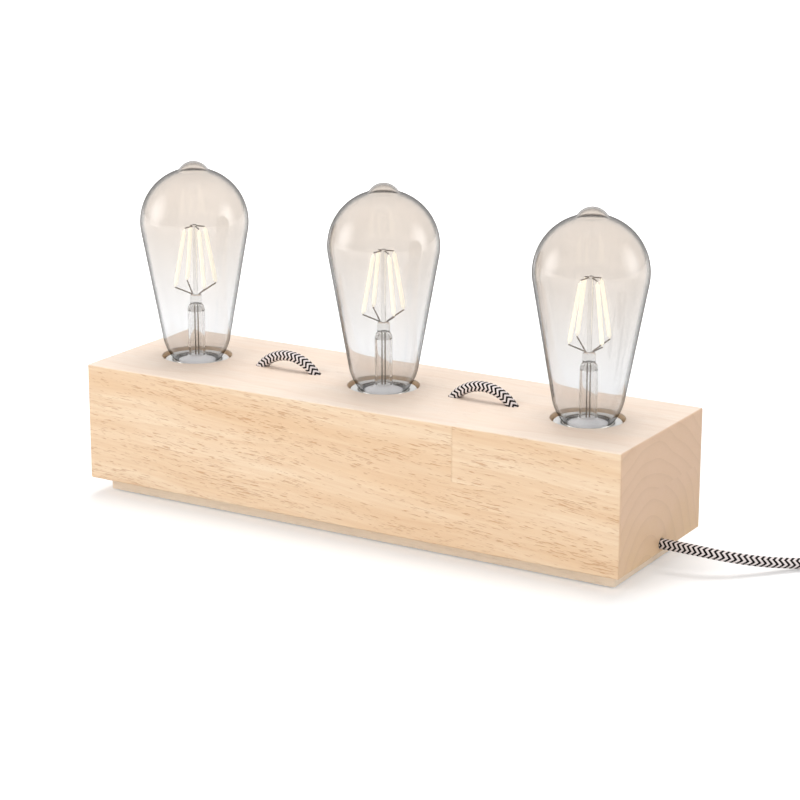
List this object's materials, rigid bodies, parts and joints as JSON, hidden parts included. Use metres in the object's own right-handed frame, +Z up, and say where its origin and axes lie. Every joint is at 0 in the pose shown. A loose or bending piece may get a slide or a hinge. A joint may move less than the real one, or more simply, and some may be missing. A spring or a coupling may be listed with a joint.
{
  "type": "bare_bulb_table_lamp",
  "caption": "Table lamp: a solid wood block with three bare pear-shaped LED filament bulbs in sunk porcelain holders, braided cord arches, in-line switch and plug.",
  "frame": {"origin": "on the floor under the middle of the wooden base", "axes": "+X along the block towards the end where the mains cord leaves, +Y to the back, +Z up"},
  "size_m": [0.648, 0.1382, 0.1975],
  "materials": {
    "block_wood": "oiled pale hardwood, fine short grain along the block, end grain on both ends",
    "base_wood": "pale unfinished wood",
    "porcelain": "white glazed porcelain, glossy",
    "shell_metal": "rolled nickel-plated sheet",
    "contact_brass": "bare pressed brass",
    "bulb_glass": "clear glass, faintly smoky",
    "stem_glass": "clear glass",
    "cap_metal": "nickel-plated screw cap",
    "insulator_black": "black glass insulator",
    "driver_potting": "grey potting resin",
    "filament_phosphor": "pale yellow phosphor silicone",
    "support_wire": "dull oxidised wire",
    "steel_plate": "zinc-plated steel strip",
    "screw_steel": "zinc-plated steel",
    "pad_rubber": "thin black felted rubber",
    "braid_zigzag": "woven braid in black and white zigzag",
    "core_brown": "brown insulation",
    "core_blue": "blue insulation",
    "clamp_nylon": "natural nylon",
    "switch_black": "black moulded plastic, satin",
    "rocker_black": "black moulded plastic, polished",
    "plug_black": "black moulded plastic",
    "pin_nickel": "bright nickel plating"
  },
  "bodies": {
    "base": {"base_plate": "base_wood", "base_screws": "screw_steel", "bracket_screws": "screw_steel", "clamp_screws": "screw_steel", "cord_clamp": "clamp_nylon", "cord_coil": "braid_zigzag", "cord_inside": "braid_zigzag", "cord_lead": "braid_zigzag", "cord_link": "braid_zigzag", "cord_loop_left": "braid_zigzag", "cord_loop_right": "braid_zigzag", "cord_tail": "braid_zigzag", "foot_pads": "pad_rubber", "holder_body_left": "porcelain", "holder_body_middle": "porcelain", "holder_body_right": "porcelain", "holder_bolts": "screw_steel", "holder_brackets": "steel_plate", "holder_contact_left": "contact_brass", "holder_contact_middle": "contact_brass", "holder_contact_right": "contact_brass", "holder_shell_left": "shell_metal", "holder_shell_middle": "shell_metal", "holder_shell_right": "shell_metal", "live_cores": "core_brown", "neutral_cores": "core_blue", "plug_body": "plug_black", "plug_pins": "pin_nickel", "switch_bottom": "switch_black", "switch_contacts": "contact_brass", "switch_screws": "screw_steel", "switch_top": "switch_black", "terminal_screws": "screw_steel", "wood_block": "block_wood"},
    "lift_left": {"bulb_contact_left": "contact_brass"},
    "bulb_left": {"bulb_glass_left": "bulb_glass", "bulb_cap_left": "cap_metal", "bulb_insulator_left": "insulator_black", "bulb_driver_left": "driver_potting", "bulb_stem_left": "stem_glass", "bulb_filaments_left": "filament_phosphor", "bulb_wires_left": "support_wire"},
    "lift_middle": {"bulb_contact_middle": "contact_brass"},
    "bulb_middle": {"bulb_glass_middle": "bulb_glass", "bulb_cap_middle": "cap_metal", "bulb_insulator_middle": "insulator_black", "bulb_driver_middle": "driver_potting", "bulb_stem_middle": "stem_glass", "bulb_filaments_middle": "filament_phosphor", "bulb_wires_middle": "support_wire"},
    "lift_right": {"bulb_contact_right": "contact_brass"},
    "bulb_right": {"bulb_glass_right": "bulb_glass", "bulb_cap_right": "cap_metal", "bulb_insulator_right": "insulator_black", "bulb_driver_right": "driver_potting", "bulb_stem_right": "stem_glass", "bulb_filaments_right": "filament_phosphor", "bulb_wires_right": "support_wire"},
    "rocker": {"switch_rocker": "rocker_black"}
  },
  "joints": [
    {"name": "screw_lift_left", "type": "slide", "parent": "base", "child": "lift_left", "axis": [0, 0, 1], "range_m": [0, 0.0146]},
    {"name": "unscrew_left", "type": "hinge", "parent": "lift_left", "child": "bulb_left", "pos_m": [-0.1321, 0, 0.078], "axis": [0, 0, 1], "range_deg": [0, 1440]},
    {"name": "screw_lift_middle", "type": "slide", "parent": "base", "child": "lift_middle", "axis": [0, 0, 1], "range_m": [0, 0.0146]},
    {"name": "unscrew_middle", "type": "hinge", "parent": "lift_middle", "child": "bulb_middle", "pos_m": [-0.0014, 0, 0.078], "axis": [0, 0, 1], "range_deg": [0, 1440]},
    {"name": "screw_lift_right", "type": "slide", "parent": "base", "child": "lift_right", "axis": [0, 0, 1], "range_m": [0, 0.0146]},
    {"name": "unscrew_right", "type": "hinge", "parent": "lift_right", "child": "bulb_right", "pos_m": [0.1293, 0, 0.078], "axis": [0, 0, 1], "range_deg": [0, 1440]},
    {"name": "rocker_tilt", "type": "hinge", "parent": "base", "child": "rocker", "pos_m": [0.346, 0.0595, 0.0132], "axis": [0, 1, 0], "range_deg": [0, 14]}
  ],
  "couplings": [
    {"joint": "screw_lift_left", "follows": "unscrew_left", "m_per_rad": 0.00057773},
    {"joint": "screw_lift_middle", "follows": "unscrew_middle", "m_per_rad": 0.00057773},
    {"joint": "screw_lift_right", "follows": "unscrew_right", "m_per_rad": 0.00057773}
  ]
}
